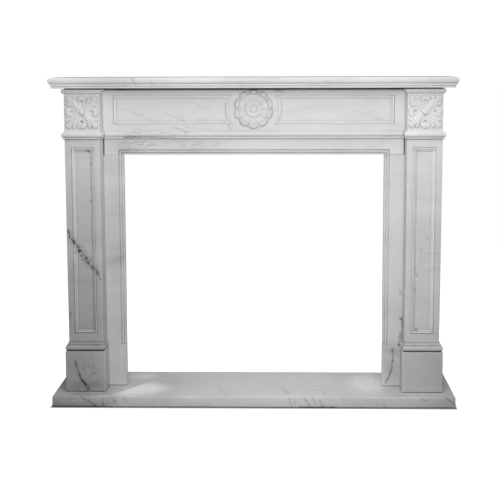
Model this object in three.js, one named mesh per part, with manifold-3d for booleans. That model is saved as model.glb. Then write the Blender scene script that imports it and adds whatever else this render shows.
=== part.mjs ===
// A carved white marble chimneypiece on its hearth slab, in millimetres, +Z up.
// The origin is the middle of the hearth's underside. The front faces -Y and the back stands at a wall.
import * as THREE from 'three';
import { mergeVertices } from 'three/addons/utils/BufferGeometryUtils.js';
import Module from 'manifold-3d';

const wasm = await Module();
wasm.setup();

// Joints between pieces stay open by this much.
const JOINT = 0.3;
// Slabs that make the hollow legs, the surround of the fire opening and the frieze.
const WALL = 30;
const SLIP_THICKNESS = 30;
const FRIEZE_THICKNESS = 40;

const HEARTH = { width: 1500, depth: 400, height: 40, arris: 4 };
const BACK = HEARTH.depth / 2;
const FRONT = -HEARTH.depth / 2;

// Half widths and set-backs behind the front edge of the hearth.
const PLINTH = { outer: 709, inner: 557, setBack: 73, top: 196, arris: 4 };
const SHAFT = { outer: 695, inner: 565, setBack: 81, top: 990 };
const SLIP = { opening: 489, openingTop: 928, setBack: 172 };
const FRIEZE = { setBack: 162, top: 1178 };
const SHELF = { halfWidth: 745, setBack: 29, bottom: 1178, top: 1217 };

// The mouldings return along the leg's inner side with this share of their projection.
const INNER_SHARE = 0.5;
// Base moulding of each leg: a quirk over the plinth, a torus, a cove and a fillet.
const BASE = {
  quirk: 4, quirkReach: 6, torus: 17, shoulder: 8, reach: 13, cove: 8, fillet: 4, filletReach: 3,
};
// Band under the carved block, which the frieze carries on between the legs: a round fillet under a nosing.
const BAND = { filletHeight: 8, filletReach: 5.5, quirkReach: 4, height: 25, widest: 10, reach: 11.5 };
// Cap moulding over the carved block and the neck that the shelf's shadow falls on.
const CAP = { bottom: 1157, height: 17, lip: 2, ovolo: 10, reach: 9, arris: 1.5, neckReach: -2 };
// Shelf edge from the top: a bullnose, a band set back under it and an ovolo set back again.
const EDGE = {
  bullnose: 22, widest: 11, top: -7, under: -4.5,
  band: -6.5, bandFoot: -10,
  ovolo: -13, ovoloHeight: 8, foot: -20,
};

const LEG_PANEL = { width: 86, bottom: 263, top: 961 };
const FRIEZE_PANEL = { outer: 525, bottom: 1042, top: 1150, arcRadius: 93, arcSteps: 12 };
// Sunk panel mouldings, as inset from the panel's line and depth: a quirk, a bead and a slope to the field.
const PANEL_STEPS = [[0, 0], [0.6, 3], [2.2, 1], [5.2, 1], [7.2, 4], [13, 7], [17, 8]];
const FRIEZE_STEPS = [[0, 0], [0.6, 2.6], [2.2, 1], [5.2, 1], [7.2, 3.4], [11, 5], [14, 5.5]];

// Moulding round the fire opening, as distance from the edge and depth, and the slope where it stops.
const OPENING_STEPS = [[22, 0], [21.4, 3], [16, 2.2], [11.4, 3], [10.8, 6], [3, 6.4], [-1, 9.4]];
const OPENING_STOP = { height: 200, slope: 8 };

// Rosette: a button in a ringed disc, and petals that rise from the disc to a rolled tip.
const ROSETTE = { centre: 1099, radius: 73, petals: 10, notch: 8, disc: 31, groove: 16, button: 12.5 };
const ROSETTE_RISE = { button: 9, dome: 4, groove: 7, disc: 9.5, swell: 1.5, root: 3, roll: 11, rim: 4.5 };
// Corner flower: four rolled leaves on the axes between four lobed leaves that run to the corners.
const FLOWER = { centre: 1090.5, axial: 59, corner: 76, valley: 52, lobe: 3, button: 11, groove: 14 };
const FLOWER_RISE = {
  button: 6, dome: 3.5, groove: 3, root: 4, bulb: 9.5, eye: 1, leaf: 8, channel: 3, rim: 2.5,
};
const AXIAL_LEAF_DEG = 15;
const CARVING_BED = 3;

// Solids

const toSolid = (geometry) => {
  const bare = geometry.clone();
  bare.deleteAttribute('normal');
  bare.deleteAttribute('uv');
  const merged = mergeVertices(bare, 1e-4);
  return new wasm.Manifold(new wasm.Mesh({
    numProp: 3,
    vertProperties: new Float32Array(merged.attributes.position.array),
    triVerts: new Uint32Array(merged.index.array),
  }));
};

const toGeometry = (solid) => {
  const mesh = solid.getMesh();
  const geometry = new THREE.BufferGeometry();
  geometry.setAttribute('position', new THREE.BufferAttribute(mesh.vertProperties, 3));
  geometry.setIndex(new THREE.BufferAttribute(mesh.triVerts, 1));
  return geometry;
};

// A closed body through rings of equal length, with both end rings capped.
function loft(rings) {
  const count = rings[0].length;
  const positions = rings.flat(2);
  const index = [];
  for (let ring = 0; ring < rings.length - 1; ring += 1) {
    for (let k = 0; k < count; k += 1) {
      const next = (k + 1) % count;
      const low = ring * count;
      const high = low + count;
      index.push(low + k, low + next, high + next);
      index.push(low + k, high + next, high + k);
    }
  }
  const cap = (base, points, flip) => {
    const flat = points.map((p) => new THREE.Vector2(p[0], p[1]));
    const turned = THREE.ShapeUtils.isClockWise(flat);
    for (const [a, b, c] of THREE.ShapeUtils.triangulateShape(flat, [])) {
      const same = flip !== turned;
      index.push(base + a, base + (same ? c : b), base + (same ? b : c));
    }
  };
  cap(0, rings[0], true);
  cap((rings.length - 1) * count, rings[rings.length - 1], false);
  const geometry = new THREE.BufferGeometry();
  geometry.setAttribute('position', new THREE.Float32BufferAttribute(positions, 3));
  geometry.setIndex(index);
  return geometry;
}

// A block whose front and sides follow a profile of [projection, height] points. The back stays flat.
function mouldedBlock(left, right, front, back, profile, leftShare = 1) {
  return loft(profile.map(([reach, z]) => [
    [left - leftShare * reach, front - reach, z],
    [right + reach, front - reach, z],
    [right + reach, back, z],
    [left - leftShare * reach, back, z],
  ]));
}

function box(left, right, front, back, bottom, top) {
  const geometry = new THREE.BoxGeometry(right - left, back - front, top - bottom);
  return geometry.translate((left + right) / 2, (front + back) / 2, (bottom + top) / 2);
}

// Points of a quarter round from one [projection, height] to another, leaving the first level or upright.
function quarter(from, to, start, steps = 4) {
  const points = [];
  for (let k = 0; k <= steps; k += 1) {
    const turn = (k / steps) * Math.PI / 2;
    const gentle = 1 - Math.cos(turn);
    const brisk = Math.sin(turn);
    const [reachShare, heightShare] = start === 'level' ? [brisk, gentle] : [gentle, brisk];
    points.push([
      from[0] + (to[0] - from[0]) * reachShare,
      from[1] + (to[1] - from[1]) * heightShare,
    ]);
  }
  return points;
}

const smooth = (low, high, value) => {
  const t = Math.min(1, Math.max(0, (value - low) / (high - low)));
  return t * t * (3 - 2 * t);
};

// Points of an S-curve from one [projection, height] to another, upright at both ends.
function wave(from, to, steps = 5) {
  const points = [];
  for (let k = 0; k <= steps; k += 1) {
    const share = k / steps;
    points.push([
      from[0] + (to[0] - from[0]) * smooth(0, 1, share),
      from[1] + (to[1] - from[1]) * share,
    ]);
  }
  return points;
}

// A solid that sinks stepwise into a front face: each step is an outline drawn further in and deeper.
function sinking(outlineAt, steps, face) {
  const ringAt = (inset, y) => outlineAt(inset).map(([x, z]) => [x, z, y]);
  const rings = steps.map(([inset, depth]) => ringAt(inset, face + depth));
  const geometry = loft([ringAt(steps[0][0], face - 5), ...rings]);
  const position = geometry.attributes.position;
  for (let k = 0; k < position.count; k += 1) {
    const depth = position.getZ(k);
    position.setXYZ(k, position.getX(k), depth, position.getY(k));
  }
  geometry.setIndex([...geometry.index.array].reverse());
  return geometry;
}

const rectangle = (left, right, bottom, top) => (inset) => [
  [left + inset, bottom + inset],
  [right - inset, bottom + inset],
  [right - inset, top - inset],
  [left + inset, top - inset],
];

// Hearth

function hearth() {
  const { width, depth, height, arris } = HEARTH;
  return mouldedBlock(-width / 2, width / 2, -depth / 2, BACK, [
    [-arris / 2, 0],
    [0, arris / 2],
    ...quarter([0, height - arris], [-arris, height], 'upright', 3),
  ]);
}

// Legs, worked out on the +X side

// The leg pieces are hollow: a front, an outer return to the wall and an inner return to the face behind.
function hollowLeg(solid, outline, innerReturn, bottom, top) {
  const clear = 60;
  const front = FRONT + outline.setBack;
  const outerWall = outline.outer - WALL;
  const cut = (left, nearest) => toSolid(
    box(left, outerWall, nearest, BACK + clear, bottom - clear, top + clear),
  );
  const hollow = cut(outline.inner + WALL, front + WALL);
  const behindReturn = cut(outline.inner - clear, innerReturn - JOINT);
  return toSolid(solid).subtract(hollow).subtract(behindReturn);
}

function plinthBlock() {
  const bottom = HEARTH.height + JOINT;
  const { outer, inner, setBack, top, arris } = PLINTH;
  const block = mouldedBlock(inner, outer, FRONT + setBack, BACK, [
    [0, bottom],
    ...quarter([0, top - arris], [-arris, top], 'upright', 3),
  ]);
  return toGeometry(hollowLeg(block, PLINTH, FRONT + SLIP.setBack, bottom, top));
}

function baseProfile() {
  const bottom = PLINTH.top + JOINT;
  const torusBottom = bottom + BASE.quirk;
  const torusMiddle = torusBottom + BASE.torus / 2;
  const torusTop = torusBottom + BASE.torus;
  const coveTop = torusTop + BASE.cove;
  return [
    [BASE.quirkReach, bottom],
    [BASE.quirkReach, torusBottom],
    ...quarter([BASE.shoulder, torusBottom], [BASE.reach, torusMiddle], 'level', 3),
    ...quarter([BASE.reach, torusMiddle], [BASE.shoulder, torusTop], 'upright', 3).slice(1),
    ...quarter([BASE.shoulder - 1, torusTop], [BASE.filletReach, coveTop], 'level', 3),
    [BASE.filletReach, coveTop + BASE.fillet],
    [0, coveTop + BASE.fillet],
  ];
}

function pilaster() {
  const front = FRONT + SHAFT.setBack;
  const top = SHAFT.top - JOINT;
  const middle = (SHAFT.inner + SHAFT.outer) / 2;
  const half = LEG_PANEL.width / 2;
  const profile = [...baseProfile(), [0, top]];
  const shaft = mouldedBlock(SHAFT.inner, SHAFT.outer, front, BACK, profile, INNER_SHARE);
  const outline = rectangle(middle - half, middle + half, LEG_PANEL.bottom, LEG_PANEL.top);
  const panel = toSolid(sinking(outline, PANEL_STEPS, front));
  return toGeometry(hollowLeg(shaft, SHAFT, FRONT + SLIP.setBack, PLINTH.top, top).subtract(panel));
}

function bandProfile(bottom) {
  const nosingBottom = bottom + BAND.filletHeight;
  const widest = nosingBottom + BAND.widest;
  const { filletReach, filletHeight, quirkReach, reach } = BAND;
  return [
    ...quarter([filletReach / 2, bottom], [filletReach, bottom + filletHeight / 2], 'level', 2),
    [filletReach, nosingBottom - 0.5],
    [quirkReach, nosingBottom],
    ...quarter([filletReach + 1, nosingBottom + 0.5], [reach, widest], 'level'),
    ...wave([reach, widest], [0, nosingBottom + BAND.height]).slice(1),
  ];
}

// Carving

// A carved boss seen from the front: spokes by rings, with its edge sunk behind the face.
function boss(centreX, centreZ, face, edgeAt, riseAt, spokes, rings) {
  const positions = [];
  const index = [];
  const put = (radius, turn, rise) => positions.push(
    centreX + radius * Math.sin(turn), face - rise, centreZ + radius * Math.cos(turn),
  );
  const turns = Array.from({ length: spokes }, (_, k) => (k / spokes) * 2 * Math.PI);
  put(0, 0, riseAt(0, 0));
  for (const share of rings) {
    turns.forEach((turn) => put(edgeAt(turn) * share, turn, riseAt(share, turn)));
  }
  turns.forEach((turn) => put(edgeAt(turn), turn, -CARVING_BED));
  put(0, 0, -CARVING_BED);
  const rim = 1 + rings.length * spokes;
  const last = rim + spokes;
  for (let k = 0; k < spokes; k += 1) {
    const next = (k + 1) % spokes;
    index.push(0, 1 + next, 1 + k);
    for (let near = 1; near < rim; near += spokes) {
      const far = near + spokes;
      index.push(near + k, near + next, far + next);
      index.push(near + k, far + next, far + k);
    }
    index.push(rim + k, rim + next, last);
  }
  const geometry = new THREE.BufferGeometry();
  geometry.setAttribute('position', new THREE.Float32BufferAttribute(positions, 3));
  geometry.setIndex(index);
  return geometry;
}

const dome = (radius, edge) => Math.sqrt(Math.max(0, 1 - (radius / edge) ** 2));

function rosette(face) {
  const { centre, radius, petals, notch, disc, groove, button } = ROSETTE;
  const rise = ROSETTE_RISE;
  // Nought on a petal's middle line and one between two petals.
  const sideOf = (turn) => {
    const place = (turn / (2 * Math.PI)) * petals;
    return Math.abs(place - Math.round(place)) * 2;
  };
  const edgeAt = (turn) => radius - notch * sideOf(turn) ** 2.5;
  const riseAt = (share, turn) => {
    const out = share * radius;
    const side = sideOf(turn);
    if (out < button) return rise.button + rise.dome * dome(out, button);
    if (out < groove) return rise.groove;
    if (out < disc) return rise.disc + rise.swell * Math.sin(Math.PI * (out - groove) / (disc - groove));
    const root = disc / radius;
    const ridge = 0.8 + 0.17 * side ** 2;
    const crown = rise.roll + (rise.rim - rise.roll) * side ** 3;
    const climb = ((share - root) / (ridge - root)) ** 1.6;
    if (share < ridge) return rise.root + (crown - rise.root) * climb;
    return crown + (rise.rim - crown) * smooth(ridge, 1, share);
  };
  const stops = [button - 1, button + 1, groove + 1, 24, disc - 1, disc + 2, 42, 51, 58, 65, 70];
  return boss(0, centre, face, edgeAt, riseAt, petals * 8, [...stops.map((stop) => stop / radius), 1]);
}

function cornerFlower(centreX, face) {
  const { centre, axial, corner, valley, lobe, button, groove } = FLOWER;
  const rise = FLOWER_RISE;
  // Degrees from the nearest axis: 0 on an axial leaf, 45 on a corner leaf.
  const axisAngle = (turn) => {
    const degrees = (turn * 180 / Math.PI) % 90;
    return Math.min(degrees, 90 - degrees);
  };
  const cornerShare = (angle) => (angle - AXIAL_LEAF_DEG) / (45 - AXIAL_LEAF_DEG);
  const edgeAt = (turn) => {
    const angle = axisAngle(turn);
    if (angle < AXIAL_LEAF_DEG) return axial + (valley - axial) * (angle / AXIAL_LEAF_DEG) ** 2;
    const share = cornerShare(angle);
    return valley + (corner - valley) * share ** 1.2 + lobe * Math.sin(3 * Math.PI * share);
  };
  const riseAt = (share, turn) => {
    const angle = axisAngle(turn);
    const out = share * axial;
    if (out < button) return rise.button + rise.dome * dome(out, button);
    if (out < groove) return rise.groove;
    const roll = 1 - smooth(0.84, 1, share);
    if (angle < AXIAL_LEAF_DEG) {
      const across = 1 - (angle / AXIAL_LEAF_DEG) ** 2;
      const bulb = rise.root + (rise.bulb - rise.root) * smooth(0.58, 0.76, share) * across;
      const eye = (rise.root - rise.eye) * Math.exp(-(((share - 0.55) / 0.1) ** 2)) * across;
      return rise.rim + (bulb - eye - rise.rim) * roll;
    }
    const side = cornerShare(angle);
    const shoulder = Math.sin(Math.PI * Math.min(1, side * 0.75 + 0.05));
    const fold = rise.channel * smooth(0.75, 1, side) * roll;
    const leaf = rise.root + (rise.leaf - rise.root) * shoulder * smooth(0.2, 0.7, share);
    return Math.max(rise.rim, rise.rim + (leaf - rise.rim) * roll - fold);
  };
  const rings = [0.17, 0.2, 0.26, 0.4, 0.52, 0.6, 0.7, 0.8, 0.9, 1];
  return boss(centreX, centre, face, edgeAt, riseAt, 96, rings);
}

function cornerBlock() {
  const front = FRONT + SHAFT.setBack;
  const bottom = SHAFT.top;
  const top = FRIEZE.top - JOINT;
  const capTop = CAP.bottom + CAP.height;
  const block = mouldedBlock(SHAFT.inner, SHAFT.outer, front, BACK, [
    ...bandProfile(bottom),
    [0, CAP.bottom],
    [CAP.lip, CAP.bottom],
    ...quarter([CAP.lip, CAP.bottom + 1], [CAP.reach, CAP.bottom + CAP.ovolo], 'level'),
    [CAP.reach, capTop - CAP.arris],
    [CAP.reach - CAP.arris, capTop],
    [CAP.neckReach, capTop],
    [CAP.neckReach, top],
  ], INNER_SHARE);
  const flower = toSolid(cornerFlower((SHAFT.inner + SHAFT.outer) / 2, front));
  return toGeometry(hollowLeg(block, SHAFT, FRONT + FRIEZE.setBack, bottom, top).add(flower));
}

// Frieze

// Outline of a frieze panel at +X: its inner end is hollowed to a circle round the rosette.
const friezePanelOutline = (inset) => {
  const { outer, bottom, top, arcRadius, arcSteps } = FRIEZE_PANEL;
  const low = bottom + inset;
  const high = top - inset;
  const radius = arcRadius + inset;
  const points = [[outer - inset, low], [outer - inset, high]];
  for (let k = 0; k <= arcSteps; k += 1) {
    const z = high + (low - high) * (k / arcSteps);
    const offCentre = z - ROSETTE.centre;
    points.push([Math.sqrt(radius ** 2 - offCentre ** 2), z]);
  }
  return points;
};

const mirrorOutline = (outlineAt) => (inset) => outlineAt(inset).map(([x, z]) => [-x, z]).reverse();

// A moulding carried straight along X on a front face, from a profile of [projection, height] points.
function straightMoulding(halfLength, face, profile) {
  const depth = 5;
  const outline = [[-depth, profile[0][1]], ...profile, [-depth, profile[profile.length - 1][1]]];
  const shape = new THREE.Shape(outline.map(([reach, z]) => new THREE.Vector2(-reach, z)));
  const geometry = new THREE.ExtrudeGeometry(shape, { depth: 2 * halfLength, bevelEnabled: false });
  const turn = new THREE.Matrix4().makeBasis(
    new THREE.Vector3(0, 1, 0), new THREE.Vector3(0, 0, 1), new THREE.Vector3(1, 0, 0),
  );
  return geometry.applyMatrix4(turn).translate(-halfLength, face, 0);
}

function frieze() {
  const face = FRONT + FRIEZE.setBack;
  const halfWidth = SHAFT.inner + WALL;
  const bottom = SHAFT.top;
  const slab = box(-halfWidth, halfWidth, face, face + FRIEZE_THICKNESS, bottom, FRIEZE.top - JOINT);
  const bandHalf = SHAFT.inner - INNER_SHARE * BAND.reach - JOINT;
  let solid = toSolid(slab).add(toSolid(straightMoulding(bandHalf, face, bandProfile(bottom))));
  for (const outlineAt of [friezePanelOutline, mirrorOutline(friezePanelOutline)]) {
    solid = solid.subtract(toSolid(sinking(outlineAt, FRIEZE_STEPS, face)));
  }
  return toGeometry(solid.add(toSolid(rosette(face))));
}

// Surround of the fire opening

// What is cut away along the edge of the opening: an outline drawn in step by step towards the back.
function openingMoulding(face, openingTop) {
  const { opening } = SLIP;
  const { height, slope } = OPENING_STOP;
  const width = OPENING_STEPS[0][0];
  const outlineAt = (inset) => {
    const stop = height + slope * (1 - inset / width);
    return [
      [-opening - inset, stop],
      [opening + inset, stop],
      [opening + inset, openingTop + inset],
      [-opening - inset, openingTop + inset],
    ];
  };
  return toSolid(sinking(outlineAt, OPENING_STEPS, face));
}

function sideSlip() {
  const face = FRONT + SLIP.setBack;
  const slab = box(
    SLIP.opening, SHAFT.inner + WALL, face, face + SLIP_THICKNESS, HEARTH.height + JOINT, SLIP.openingTop,
  );
  return toGeometry(toSolid(slab).subtract(openingMoulding(face, SHAFT.top)));
}

function headSlip() {
  const face = FRONT + SLIP.setBack;
  const halfWidth = SHAFT.inner + WALL;
  const slab = box(
    -halfWidth, halfWidth, face, face + SLIP_THICKNESS, SLIP.openingTop + JOINT, SHAFT.top - JOINT,
  );
  return toGeometry(toSolid(slab).subtract(openingMoulding(face, SLIP.openingTop)));
}

// Shelf

function shelf() {
  const { halfWidth, setBack, bottom, top } = SHELF;
  const ovoloTop = bottom + EDGE.ovoloHeight;
  const nosingBottom = top - EDGE.bullnose;
  const widest = top - EDGE.widest;
  return mouldedBlock(-halfWidth, halfWidth, FRONT + setBack, BACK, [
    [EDGE.foot, bottom],
    ...quarter([EDGE.foot + 1, bottom + 1], [EDGE.ovolo, ovoloTop], 'level', 3),
    [EDGE.ovolo, ovoloTop + 1],
    [EDGE.bandFoot, ovoloTop + 1],
    ...quarter([EDGE.bandFoot, ovoloTop + 2], [EDGE.band, nosingBottom - 1], 'level', 3),
    [EDGE.band, nosingBottom],
    ...quarter([EDGE.under, nosingBottom], [0, widest], 'level'),
    ...quarter([0, widest], [EDGE.top, top], 'upright').slice(1),
  ]);
}

// Assembly

const marble = () => new THREE.MeshStandardMaterial({ color: 0xd6d6d5, roughness: 0.38, metalness: 0 });

const mirrored = (geometry) => {
  const other = geometry.clone().scale(-1, 1, 1);
  other.setIndex([...other.index.array].reverse());
  return other;
};

const mantel = new THREE.Group();
mantel.name = 'mantel';

function place(name, geometry) {
  const mesh = new THREE.Mesh(geometry, marble());
  mesh.name = name;
  mantel.add(mesh);
}

place('hearth_slab', hearth());
const pairs = {
  plinth_block: plinthBlock(),
  pilaster: pilaster(),
  corner_block: cornerBlock(),
  slip: sideSlip(),
};
for (const [name, geometry] of Object.entries(pairs)) {
  place(`right_${name}`, geometry);
  place(`left_${name}`, mirrored(geometry));
}
place('head_slip', headSlip());
place('frieze', frieze());
place('mantel_shelf', shelf());

export default mantel;
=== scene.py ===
import math

import bpy
import numpy as np
from mathutils import Matrix, Vector


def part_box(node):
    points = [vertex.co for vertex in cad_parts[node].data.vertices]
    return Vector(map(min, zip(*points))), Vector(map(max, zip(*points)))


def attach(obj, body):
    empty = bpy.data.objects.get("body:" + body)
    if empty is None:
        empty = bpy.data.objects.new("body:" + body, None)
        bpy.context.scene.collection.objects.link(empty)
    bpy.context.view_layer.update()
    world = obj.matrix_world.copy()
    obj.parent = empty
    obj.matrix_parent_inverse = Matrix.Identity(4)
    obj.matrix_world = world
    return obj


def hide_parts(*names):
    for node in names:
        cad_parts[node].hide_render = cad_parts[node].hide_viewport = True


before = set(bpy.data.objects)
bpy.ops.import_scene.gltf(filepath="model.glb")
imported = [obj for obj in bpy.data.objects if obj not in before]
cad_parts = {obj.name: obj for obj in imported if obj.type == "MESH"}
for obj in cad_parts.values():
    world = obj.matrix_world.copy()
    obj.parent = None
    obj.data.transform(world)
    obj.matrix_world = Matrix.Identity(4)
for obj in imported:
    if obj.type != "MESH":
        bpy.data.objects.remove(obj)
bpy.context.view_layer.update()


# Hearth slab
# One slab of honed white marble with diagonal grey veins, laid flat on the floor under the
# whole mantel. Its top edge is eased by a small round arris and the other stones stand on it.

class Signal:
    """An output socket that takes part in Python arithmetic. Each operator adds one Math node."""

    def __init__(self, bench, socket):
        self.bench = bench
        self.socket = socket

    def math(self, operation, *inputs):
        return self.bench.node("Math", {"operation": operation}, *inputs)

    def __add__(self, other):
        return self.math("ADD", self, other)

    def __radd__(self, other):
        return self.math("ADD", other, self)

    def __sub__(self, other):
        return self.math("SUBTRACT", self, other)

    def __rsub__(self, other):
        return self.math("SUBTRACT", other, self)

    def __mul__(self, other):
        return self.math("MULTIPLY", self, other)

    def __rmul__(self, other):
        return self.math("MULTIPLY", other, self)

    def size(self):
        """The value without its sign."""
        return self.math("ABSOLUTE", self)

    def smaller(self, other):
        return self.math("MINIMUM", self, other)

    def larger(self, other):
        return self.math("MAXIMUM", self, other)

    def limited(self):
        """The value kept between 0 and 1."""
        return self.bench.node("Clamp", {}, self, 0.0, 1.0)

    def band(self, low, high):
        """0 below low, 1 above high and smooth between. low may be the larger one, which turns it round."""
        settings = {"interpolation_type": "SMOOTHSTEP"}
        return self.bench.node("MapRange", settings, self, low, high, 0.0, 1.0)


class Bench:
    """The node tree of a material or a world, cleared for work."""

    def __init__(self, owner):
        owner.use_nodes = True
        self.tree = owner.node_tree
        self.tree.nodes.clear()

    def node(self, kind, settings=None, *inputs, output=0, **named):
        """Adds the ShaderNode of a kind: its settings first, then its inputs by place or by name. Gives
        back one output."""
        made = self.tree.nodes.new("ShaderNode" + kind)
        for setting, value in (settings or {}).items():
            setattr(made, setting, value)
        for key, value in [*enumerate(inputs), *named.items()]:
            socket = made.inputs[key.replace("_", " ") if isinstance(key, str) else key]
            if isinstance(value, Signal):
                self.tree.links.new(value.socket, socket)
            else:
                socket.default_value = value
        return Signal(self, made.outputs[output]) if made.outputs else None

    def noise(self, place, scale, detail=2.0, distortion=0.0, output=0):
        """Soft noise from 0 to 1, with scale in waves per metre."""
        return self.node(
            "TexNoise", {}, place, Scale=scale, Detail=detail, Distortion=distortion, output=output,
        )

    def vector(self, operation, *inputs, output=0, **named):
        return self.node("VectorMath", {"operation": operation}, *inputs, output=output, **named)

    def along(self, axis, place):
        """The place's X, Y or Z."""
        return self.node("SeparateXYZ", {}, place, output=axis)


MM = 0.001
SWAY = {"scale": 26.0, "detail": 3.0}
BREAKS, BREAKS_BAND = {"scale": 85.0, "detail": 3.0}, (0.36, 0.6)
BLOTS, BLOTS_BAND = {"scale": 150.0, "detail": 3.0}, (0.48, 0.6)
HALO_WIDTH, HALO_SHARE = 4.0, 0.3
SPECK_HALF, SPECK_STRAY, SPECK_END = 2.6, 2, 3
OVAL_CORE, EDGE_BLUR = 0.25, 0.012
BEDDING = (1.0, 1.0, 2.6)
CLOUDS, CLOUDS_BAND = {"scale": 3.2, "detail": 5.0, "distortion": 0.6}, (0.38, 0.72)
MOTTLE = {"scale": 42.0, "detail": 4.0, "distortion": 0.4}
HAIR, HAIR_HALF = {"scale": 2.3, "detail": 6.0, "distortion": 0.35}, 0.012
HAIR_BREAKS, HAIR_BREAKS_BAND = {"scale": 3.0}, (0.5, 0.66)
STREAKS, STREAKS_BAND = {"scale": 24.0, "detail": 4.0, "distortion": 0.8}, (0.5, 0.68)
STREAKS_DRAWN = (1.0, 1.0, 4.5)
CLOUD_SHADE, MOTTLE_SHADE, HAIR_SHADE, GRIME_SHADE_STRENGTH = 0.09, 0.09, 0.08, 0.55
STAIN_EVEN, STAIN_CLOUDY = 0.6, 0.8
LINE_SOFTNESS = 0.5
DARKEST, PALEST, WARMTH = 0.95, 0.97, 0.996
ROUGH_CLEAN, ROUGH_MOTTLE, ROUGH_GRIME_SHADE = 0.42, 0.12, 0.15
FINE_GRAIN, COARSE_GRAIN, COARSE_SHARE = {"scale": 900.0}, {"scale": 70.0, "detail": 3.0}, 1.5
GRAIN_STRENGTH, GRAIN_DEPTH = 0.5, 0.00012
SHEEN = 0.35


def on_face(point, level=False):
    """A point in metres from mm: (x, z) on an upright face, (x, y) on a level one, or all of (x, y, z)."""
    if len(point) == 2:
        point = (point[0], point[1], 0.0) if level else (point[0], 0.0, point[1])
    return np.array(point) * MM


def vein_shade(bench, place, points, half, stray, dark, blots=0.0):
    """The shade of one vein: dark within its half width of a bent line through the points, with a soft
    halo and, by the share blots, with small dark blots beside it. Noise strays the line and breaks it
    up. Sizes are in mm. With points (x, z) the vein runs straight into the stone, and with (x, y, z) it
    stays near the face that its ends lie on."""
    through = len(points[0]) == 2
    sway = (1.0, 0.0, 1.0) if through else tuple(float(a != b) for a, b in zip(points[0], points[-1]))
    wander = bench.noise(place, **SWAY, output="Color")
    bend = bench.vector("SUBTRACT", wander, (0.5, 0.5, 0.5))
    bend = bench.vector("MULTIPLY", bend, tuple(2 * stray * MM * way for way in sway))
    strayed = bench.vector("ADD", place, bend)
    strayed = bench.vector("MULTIPLY", strayed, (1.0, 0.0, 1.0) if through else (1.0, 1.0, 1.0))
    gap = None
    for start, end in zip(points[:-1], points[1:]):
        run = on_face(end) - on_face(start)
        offset = bench.vector("SUBTRACT", strayed, tuple(on_face(start)))
        share = bench.vector("DOT_PRODUCT", offset, tuple(run / (run @ run)), output="Value").limited()
        nearest = bench.vector("SCALE", tuple(run), Scale=share)
        near = bench.vector("DISTANCE", offset, nearest, output="Value")
        gap = near if gap is None else gap.smaller(near)
    broken = bench.noise(place, **BREAKS).band(*BREAKS_BAND)
    shade = gap.band(half * MM, 0.0) * broken + HALO_SHARE * gap.band(half * HALO_WIDTH * MM, 0.0)
    if blots:
        spots = bench.noise(place, **BLOTS).band(*BLOTS_BAND) * blots
        shade = shade + gap.band(half * HALO_WIDTH * MM, half * MM) * spots
    return shade * dark


def speck(x, z, dark=0.45):
    """A short vein that shows as one dark speck on an upright face."""
    return [(x, z + SPECK_END), (x + 1, z - SPECK_END)], SPECK_HALF, SPECK_STRAY, dark


def area(bench, place, centre, reach, level=False, edge=None):
    """1 in the middle of a soft oval on a face and 0 past its reach. Left of an edge line from one (x, y)
    to another it stops short."""
    spans = (1.0 / reach[0], 1.0 / reach[1], 0.0) if level else (1.0 / reach[0], 0.0, 1.0 / reach[1])
    offset = bench.vector("SUBTRACT", place, tuple(on_face(centre, level)))
    scaled = bench.vector("MULTIPLY", offset, tuple(span / MM for span in spans))
    inside = bench.vector("LENGTH", scaled, output="Value").band(1.0, OVAL_CORE)
    if edge:
        start, end = on_face(edge[0], level), on_face(edge[1], level)
        aside = np.array([end[1] - start[1], start[0] - end[0], 0.0]) / np.linalg.norm(end - start)
        offset = bench.vector("SUBTRACT", place, tuple(start))
        past = bench.vector("DOT_PRODUCT", offset, tuple(aside), output="Value")
        inside = inside * past.band(0.0, EDGE_BLUR)
    return inside


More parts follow.
